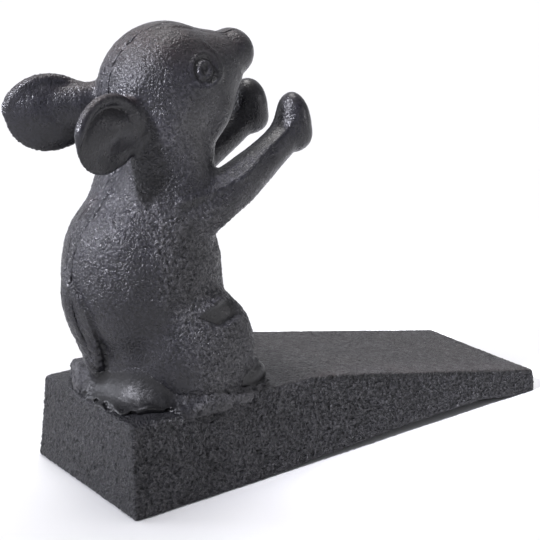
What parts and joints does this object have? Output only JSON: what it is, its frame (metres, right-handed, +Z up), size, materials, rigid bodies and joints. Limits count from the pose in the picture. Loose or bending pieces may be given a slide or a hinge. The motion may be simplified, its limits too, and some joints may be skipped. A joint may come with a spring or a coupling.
{
  "type": "door wedge",
  "caption": "Cast iron door wedge: a mouse sits up on the level end of a tapered ramp that slides under a door",
  "frame": {"origin": "On the floor, in the middle of the flat heel pad under the figure", "axes": "+X runs from the thick end to the tip of the wedge, the way the mouse looks. +Z is up. +Y is the mouse's left"},
  "size_m": [0.1396, 0.0456, 0.1072],
  "materials": {
    "wedge_iron": "black paint over a sand cast grain, satin",
    "figure_iron": "black paint over a sand cast grain, satin with a soft shine on the back",
    "seam": "black paint over a filed strip",
    "bead": "black paint over a smooth smeared bead, glossier than the castings"
  },
  "bodies": {
    "root": {"wedge": "wedge_iron", "mouse_right_half": "figure_iron", "mouse_left_half": "figure_iron", "seam_filler": "seam", "base_bead": "bead"}
  },
  "joints": []
}
